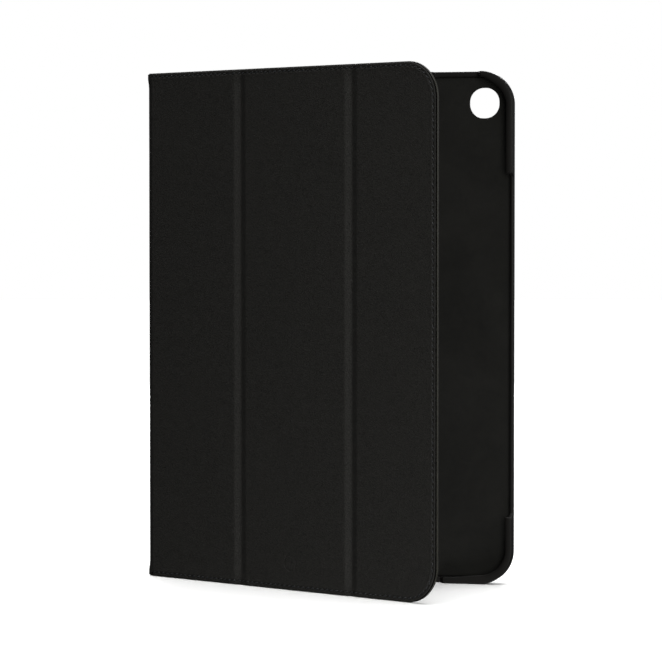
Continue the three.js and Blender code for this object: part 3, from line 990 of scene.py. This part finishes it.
WALL = 1.6  # at the sides
END_WALL = 2.6  # at the top and bottom
OVERHANG = 1.8  # of the lip over the tablet
LIP = 0.9  # thickness
LOW_EDGE = 3.5  # how far the rim stands back between the grips
SLANT = 2.2  # length of the rim's slope beside a grip
NOTCH_SLANT = 0.8
FRONT_ROUND = 0.6
BACK_ROUND = 3.2
TOP_GRIP = (16.0, 50.0)  # how far a grip reaches along X and along Z, from the tray's side and end
BOTTOM_GRIP = (34.5, 33.0)
PORT = (15.0, 7.0)  # width and depth
POWER = (24.0, 17.5, 6.6)  # width, distance from the tray's side, and depth
SPEAKER = (24.0, 1.9, 39.0, 4.6)  # length, height, distance from the middle, and depth from the front
WINDOW = (15.0, 7.0, 15.5)  # size, corner radius, and distance of its middle from the side and the top
SKIN_GAP = 0.3  # by which the leather and the pad stand back from the window and the walls
TRAY_SMOOTH = 38
LIP_CROWN = [(0.34, 0.0), (0.5, 0.02), (0.66, 0.08), (0.8, 0.18), (0.91, 0.33), (0.98, 0.52), (1.0, 0.7)]
LOW_CROWN = [(0.5, 0.0), (0.7, 0.0), (0.83, 0.07), (0.93, 0.2), (0.98, 0.36), (1.0, 0.52), (1.0, 0.66)]
LOW_CROWN += [(1.0, 0.74), (1.0, 0.8), (1.0, 0.9), (1.0, 1.0)]

tray_middle = (tray_lo.x + tray_hi.x) / 2 / MM
tray_half = (tray_hi.x - tray_lo.x) / 2 / MM
tray_height = tray_hi.z / MM
tray_front = tray_lo.y / MM
tray_back = tray_hi.y / MM - tray_front
pad_lo, pad_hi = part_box("tray_pad")
pad_front = pad_lo.y / MM - tray_front
pad_back = pad_hi.y / MM - tray_front
tray_floor = pad_back + GLUE


def ramp(distance, depth, run):
    return depth * smoothstep(-0.1, run + 0.1, distance)


def rim_depth(x, z):
    """How far the wall's rim stands back from the tray's front plane, at a point of the outline."""
    across = abs(x)
    straight = tray_half - TRAY_CORNER
    depth = 0.0
    if across > straight and TRAY_CORNER < z < tray_height - TRAY_CORNER:
        inside = min(z - BOTTOM_GRIP[1], tray_height - TOP_GRIP[1] - z)
        depth = ramp(inside, LOW_EDGE, SLANT)
    elif z > tray_height / 2:
        depth = ramp(tray_half - TOP_GRIP[0] - across, LOW_EDGE, SLANT)
        gap = POWER[0] / 2 - abs(x - (tray_half - POWER[1] - POWER[0] / 2))
        depth = max(depth, ramp(gap, POWER[2], NOTCH_SLANT))
    else:
        depth = ramp(tray_half - BOTTOM_GRIP[0] - across, LOW_EDGE, SLANT)
        gap = PORT[0] / 2 - across
        depth = max(depth, ramp(gap, PORT[1], NOTCH_SLANT))
    return depth


def wall_thickness(out_z):
    """The wall is thicker at the top and bottom than at the sides, and eases from one to the other."""
    return WALL + (END_WALL - WALL) * abs(out_z)


def lip_reach(x, z):
    """How far the lip reaches over the tablet: it tapers along the top and bottom, away from the corner."""
    across = abs(x)
    if z > tray_height / 2:
        share = smoothstep(-1.5, 9.0, across - (tray_half - TOP_GRIP[0]))
    else:
        share = 0.3 + 0.7 * smoothstep(7.0, 15.0, across - (tray_half - BOTTOM_GRIP[0]))
    return OVERHANG * share


def wall_section(rim, wall, overhang):
    """The tray's section: [(inset, y)] from the middle of its back, over the wall, to the floor."""
    points = [(TRAY_CORNER, tray_back), (8.0, tray_back), (4.5, tray_back)]
    foot = tray_back - BACK_ROUND
    soft = min(FRONT_ROUND, max(foot - rim, 0.3))
    top = rim + soft
    for angle in radians_between(0, 90, 15):
        y = tray_back - BACK_ROUND * (1 - math.cos(angle))
        points.append((BACK_ROUND * (1 - math.sin(angle)), max(y, top)))
    for share in (0.3, 0.6, 0.9):
        points.append((0.0, max(foot + (top - foot) * share, top)))
    for angle in radians_between(0, 90, 18):
        points.append((soft * (1 - math.cos(angle)), rim + soft * (1 - math.sin(angle))))
    room = min(1.0, tray_floor - rim - 0.3)
    if rim < LIP - 0.06:
        tip = wall + overhang
        thick = LIP - rim
        points += [(soft + (tip - soft) * share, rim + fall * thick) for share, fall in LIP_CROWN]
        points += [(tip - 0.03, rim + 0.88 * thick), (tip - 0.14 * min(1, overhang), LIP)]
        points += [(wall + 0.05 + 0.1 * overhang / OVERHANG, LIP), (wall, LIP + 0.15)]
    else:
        points += [(wall * share, rim + fall * room) for share, fall in LOW_CROWN]
    deep = points[-1][1]
    for share in (0.35, 0.8):
        points.append((wall, deep + (tray_floor - 0.25 - deep) * share))
    points += [(wall + 0.07, tray_floor - 0.09), (wall + 0.3, tray_floor)]
    points += [(8.0, tray_floor), (TRAY_CORNER, tray_floor)]
    return points


def outline_stations():
    """Points of the tray's outline, anticlockwise from the front: (x, z, out x, out z, on a corner)."""
    straight = tray_half - TRAY_CORNER
    low, high = TRAY_CORNER, tray_height - TRAY_CORNER

    def along(start, end, marks):
        values = set(spread(start, end, 7.0))
        for mark, run in marks:
            fine = spread(mark - 0.2, mark + run + 0.2, 0.22)
            values |= {v for v in fine if min(start, end) < v < max(start, end)}
        found = []
        for value in sorted(values, reverse=start > end):
            if not found or abs(value - found[-1]) > 0.05:
                found.append(value)
        return found

    def corner(x, z, first):
        turn = radians_between(first, first + 90, 3)
        return [(x, z, math.cos(a), math.sin(a), True) for a in turn]

    grip = tray_half - BOTTOM_GRIP[0]
    port = PORT[0] / 2
    power_high = tray_half - POWER[1]
    bottom_marks = [(-grip, SLANT), (grip - SLANT, SLANT)]
    bottom_marks += [(-port, NOTCH_SLANT), (port - NOTCH_SLANT, NOTCH_SLANT)]
    top_marks = [(power_high - POWER[0], NOTCH_SLANT), (power_high - NOTCH_SLANT, NOTCH_SLANT)]
    side_marks = [(BOTTOM_GRIP[1], SLANT), (tray_height - TOP_GRIP[1] - SLANT, SLANT)]
    path = [(x, 0.0, 0.0, -1.0, False) for x in along(-straight, straight, bottom_marks)]
    path += corner(straight, low, -90)
    path += [(tray_half, z, 1.0, 0.0, False) for z in along(low, high, side_marks)]
    path += corner(straight, high, 0)
    path += [(x, tray_height, 0.0, 1.0, False) for x in along(straight, -straight, top_marks)]
    path += corner(-straight, high, 90)
    path += [(-tray_half, z, -1.0, 0.0, False) for z in along(high, low, side_marks)]
    path += corner(-straight, low, 180)
    return path


def in_tray(x, y, z):
    return Vector((tray_middle + x, tray_front + y, z)) * MM


def finer_corners(path):
    """More stations on the corners where the rim changes depth."""
    found = []

    def rim_at(centre, angle):
        x = centre[0] + TRAY_CORNER * math.cos(angle)
        return rim_depth(x, centre[1] + TRAY_CORNER * math.sin(angle))

    for first, second in zip(path, path[1:] + path[:1]):
        found.append(first)
        if not (first[4] and second[4]) or (first[0], first[1]) != (second[0], second[1]):
            continue
        a = math.atan2(first[3], first[2])
        b = math.atan2(second[3], second[2])
        if b < a - 1e-6:
            b += 2 * math.pi
        if abs(rim_at(first, a) - rim_at(first, b)) > 0.05:
            for t in spread(a, b, math.radians(0.35))[1:-1]:
                found.append((first[0], first[1], math.cos(t), math.sin(t), True))
    return found


def ring_mesh(name, material, smooth_angle, stations, section_at):
    """A closed mesh from a section, [(distance out, y)], at each station round the tray."""
    bm = bmesh.new()
    rows = []
    for x, z, out_x, out_z, on_corner in stations:
        reach = TRAY_CORNER if on_corner else 0.0
        row = []
        for out, y in section_at(x + out_x * reach, z + out_z * reach, out_z):
            place = in_tray(x + out_x * (reach + out), y, z + out_z * (reach + out))
            row.append((place, (0.0, 0.0)))
        rows.append(row)
    rows.append(rows[0])
    loft(bm, rows, False)
    return close_and_finish(name, bm, [material], smooth_angle)


def tray_section(x, z, out_z):
    section = wall_section(rim_depth(x, z), wall_thickness(out_z), lip_reach(x, z))
    return [(-inset, y) for inset, y in section]


def cutter_from(rows):
    """A solid to cut with, from a ring of places at each of its two ends."""
    bm = bmesh.new()
    ends = loft(bm, [[(place, (0.0, 0.0)) for place in row] for row in rows], True)
    cap(bm, ends[0])
    cap(bm, ends[1])
    return finish_mesh("cutter", bm, [])


def cut_out(target, cutters):
    """Cuts solids out of a mesh, keeps the result as its mesh and removes the cutters."""
    for cutter in cutters:
        modifier = target.modifiers.new("cut", "BOOLEAN")
        modifier.operation = "DIFFERENCE"
        modifier.solver = "EXACT"
        modifier.object = cutter
    bpy.context.view_layer.update()
    shape = target.evaluated_get(bpy.context.evaluated_depsgraph_get())
    mesh = bpy.data.meshes.new_from_object(shape)
    target.modifiers.clear()
    target.data = mesh
    mesh.set_sharp_from_angle(angle=math.radians(TRAY_SMOOTH))
    for cutter in cutters:
        bpy.data.objects.remove(cutter)
    return target


def window_cutter(grow):
    """A cutter through the camera window, larger than it all round by this much."""
    size, corner, away = WINDOW
    radius = corner + grow
    flat = size / 2 + grow - radius
    rows = []
    for y in (-5.0, 20.0):
        row = []
        for quarter, (sign_x, sign_z) in enumerate(((1, 1), (-1, 1), (-1, -1), (1, -1))):
            for a in radians_between(quarter * 90, quarter * 90 + 90, 6):
                x = tray_half - away + sign_x * flat + radius * math.cos(a)
                z = tray_height - away + sign_z * flat + radius * math.sin(a)
                row.append(in_tray(x, y, z))
        rows.append(row)
    return cutter_from(rows)


def slot_cutter(x, top):
    """A round-ended cutter through a wall, lying along X."""
    length, height, _, deep = SPEAKER
    inner = tray_height - END_WALL - 0.25 if top else END_WALL + 0.25
    outer = tray_height + 1.0 if top else -1.0
    rows = []
    for z in sorted((inner, outer)):
        row = []
        for end, first in ((1, -90), (-1, 90)):
            for a in radians_between(first, first + 180, 15):
                px = x + end * (length - height) / 2 + height / 2 * math.cos(a)
                row.append(in_tray(px, deep + height / 2 + height / 2 * math.sin(a), z))
        rows.append(row)
    return cutter_from(rows)


cutters = [
    window_cutter(0.0),
    slot_cutter(-SPEAKER[2], False),
    slot_cutter(SPEAKER[2], False),
    slot_cutter(-SPEAKER[2], True),
]
tray_stations = finer_corners(outline_stations())
tray = ring_mesh("moulded_tray", plastic, TRAY_SMOOTH, tray_stations, tray_section)
cut_out(tray, cutters)
cut_out(skin, [window_cutter(SKIN_GAP)])

PAD_FACE = [(6.0, 0.0), (0.5, 0.0), (0.2, 0.06), (0.05, 0.2), (0.0, 0.35)]  # (inset, depth), at its face
PAD_BACK = [(0.0, 0.05), (0.1, 0.0), (6.0, 0.0)]


def pad_section(x, z, out_z):
    """The microfibre pad on the tray's floor, with its edge rounded."""
    edge = -wall_thickness(out_z) - SKIN_GAP
    front = [(edge - inset, pad_front + depth) for inset, depth in PAD_FACE]
    return front + [(edge - inset, pad_back - depth) for inset, depth in PAD_BACK]


pad = ring_mesh("tray_pad_face", lining, 40, outline_stations(), pad_section)
cut_out(pad, [window_cutter(SKIN_GAP)])

# ------------------------------------------------------------------ the bodies that some pieces ride on, and the CAD parts the pieces replace

for piece, node, slot_name in (
    (tray, "tray_shell", "shell_plastic"),
    (pad, "tray_pad", "microfibre"),
    (skin, "back_leather", "leather"),
):
    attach(piece, "back")
    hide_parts(node)


def on_cover(s):
    return cover_flat.station(s).at(CREASE, 0.0)


HINGE_REACH = 2.2  # half the length that bends at a spine hinge
CREASE_REACH = 1.3  # the same at a fold's crease

back_flat.station(-HINGE_REACH).at(CREASE, 0.0)
spine_flat.station(HINGE_REACH).at(CREASE, 0.0)
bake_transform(back_crease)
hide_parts("back_hinge_leather")


def blend_over_cover_hinge(piece, slot_name, *nodes):
    start = spine_flat.station(SPINE_LENGTH - HINGE_REACH).at(CREASE, 0.0)
    on_cover(COVER_START + HINGE_REACH)
    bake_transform(piece)
    if nodes:
        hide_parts(*nodes)


blend_over_cover_hinge(cover_crease, "leather", "cover_hinge_leather", "spine_leather")
blend_over_cover_hinge(cover_crease_lining, "microfibre", "cover_hinge_lining")
blend_over_cover_hinge(seams["cover_crease_stitches"], "thread")

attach(spine_lining, "spine")
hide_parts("spine_lining")

THREAD_NODES = {
    1: ["panel_1_thread_lower", "panel_1_thread_upper"],
    2: ["panel_2_thread_lower", "panel_2_thread_upper"],
    3: ["panel_3_thread"],
}
for number in (1, 2, 3):
    body = f"panel_{number}"
    face, sheet, seam = panel_faces[number - 1], panel_linings[number - 1], seams[f"{body}_stitches"]
    for piece, slot_name, nodes in (
        (face, "leather", [f"{body}_leather"]),
        (sheet, "microfibre", [f"{body}_lining"]),
        (seam, "thread", THREAD_NODES[number]),
    ):
        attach(piece, body)
        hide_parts(*nodes)

for number, middle in enumerate(FOLDS, 1):
    for index, side in enumerate(("spine_side", "free_side")):
        crease = middle + (CREASE_OFFSET if index else -CREASE_OFFSET)
        start, end = on_cover(crease - CREASE_REACH), on_cover(crease + CREASE_REACH)
        for piece, slot_name, nodes in (
            (fold_leathers[2 * (number - 1) + index], "leather", [f"fold_{number}_leather"]),
            (fold_linings[2 * (number - 1) + index], "microfibre", [f"fold_{number}_lining"]),
            (seams[f"fold_{number}_{side}_stitches"], "thread", []),
        ):
            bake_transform(piece)
            for node in nodes:
                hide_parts(node)

# the hidden parts keep their CAD shapes and get real materials
for name, node in frame["nodes"].items():
    if name.endswith("_board"):
        look = pressed_board
    elif "magnet" in name:
        look = plated
    else:
        continue
    for slot_index in range(len(node.material_slots)):
        node.material_slots[slot_index].material = look

# ------------------------------------------------------------------ floor, light and camera


def floor_material():
    n = Nodes("floor")
    where = n.place()
    mottle = n.noise(where, 6.0, 4.0)
    n.surface(Base_Color=n.colours(mottle, [(0.3, (0.8, 0.8, 0.8)), (0.7, (0.84, 0.84, 0.84))]))
    n.surface(Roughness=n.span(mottle, 0.3, 0.7, 0.75, 0.9))
    n.set(n.shader, "Specular IOR Level", 0.1)
    return n.material


FLOOR_RADIUS = 6.0
FLOOR_DROP = 0.0001


def pale_floor():
    """The floor. It throws no light on the case and lets the light under it through."""
    bm = bmesh.new()
    around = spread(0, 2 * math.pi, 0.1)[:-1]
    ring = [bm.verts.new((FLOOR_RADIUS * math.cos(a), FLOOR_RADIUS * math.sin(a), 0)) for a in around]
    bm.faces.new(ring)
    made = finish_mesh("pale_floor", bm, [floor_material()])
    made.location.z = -FLOOR_DROP
    made.visible_diffuse = False
    made.visible_glossy = False
    made.visible_shadow = False


pale_floor()


def softbox(name, place, aim, width, height, watts, tint=(1, 1, 1)):
    data = bpy.data.lights.new(name, "AREA")
    data.shape = "RECTANGLE"
    data.size = width
    data.size_y = height
    data.energy = watts
    data.color = tint
    lamp = bpy.data.objects.new(name, data)
    lamp.location = place
    lamp.rotation_mode = "QUATERNION"
    lamp.rotation_quaternion = (Vector(aim) - Vector(place)).to_track_quat("-Z", "Y")
    bpy.context.scene.collection.objects.link(lamp)


def sunlight(name, strength, spread_degrees):
    """Soft light from straight above, which keeps the whole floor as pale as the backdrop."""
    data = bpy.data.lights.new(name, "SUN")
    data.energy = strength
    data.angle = math.radians(spread_degrees)
    lamp = bpy.data.objects.new(name, data)
    bpy.context.scene.collection.objects.link(lamp)


softbox("key_front", (0.55, -1.07, 0.25), (0, 0, 0.13), 0.45, 0.8, 10.5, (1, 1, 0.95))
softbox("back_left", (-0.5, 1.6, 0.7), (0, 0, 0.13), 1.0, 1.0, 30)
softbox("table_glow", (0.12, -0.26, -0.4), (0, -0.05, 0.02), 0.5, 0.25, 1.9)
softbox("fill_right", (1.25, 0.75, 0.4), (0, 0, 0.13), 1.0, 1.0, 6)
sunlight("overhead", 5.2, 60)

ROOM_LIGHT = 0.01
BACKDROP = 1.0

world = bpy.data.worlds.new("studio")
bpy.context.scene.world = world
world.use_nodes = True
tree = world.node_tree
tree.nodes.clear()
path = tree.nodes.new("ShaderNodeLightPath")
mixed = tree.nodes.new("ShaderNodeMixShader")
output = tree.nodes.new("ShaderNodeOutputWorld")
tree.links.new(path.outputs["Is Camera Ray"], mixed.inputs["Fac"])
for socket, strength in ((1, ROOM_LIGHT), (2, BACKDROP)):
    shade = tree.nodes.new("ShaderNodeBackground")
    shade.inputs["Color"].default_value = (1, 1, 1, 1)
    shade.inputs["Strength"].default_value = strength
    tree.links.new(shade.outputs["Background"], mixed.inputs[socket])
tree.links.new(mixed.outputs["Shader"], output.inputs["Surface"])

scene = bpy.context.scene
scene.view_settings.view_transform = "Standard"
scene.view_settings.look = "None"

AZIMUTH = math.radians(13.562)
DISTANCE = 1.44435
PITCH_DOWN = math.radians(1.9575)
EYE_HEIGHT = 0.17409
TURN = math.radians(0.0198)
SENSOR = 36.0
LENS = 157.4755287
camera_data = bpy.data.cameras.new("camera")
camera_data.sensor_width = SENSOR
camera_data.lens = LENS
camera_data.clip_start = 0.05
camera_data.clip_end = 60.0
camera = bpy.data.objects.new("camera", camera_data)
scene.collection.objects.link(camera)
tray_origin = Vector((tray_middle, tray_front, 0)) * MM
away = Vector((math.sin(AZIMUTH), -math.cos(AZIMUTH), 0)) * DISTANCE
eye = tray_origin + away + UP * EYE_HEIGHT
heading = AZIMUTH + TURN
level = math.cos(PITCH_DOWN)
forward = Vector((-math.sin(heading) * level, math.cos(heading) * level, -math.sin(PITCH_DOWN)))
camera.location = eye
camera.rotation_mode = "QUATERNION"
camera.rotation_quaternion = forward.to_track_quat("-Z", "Y")
scene.camera = camera
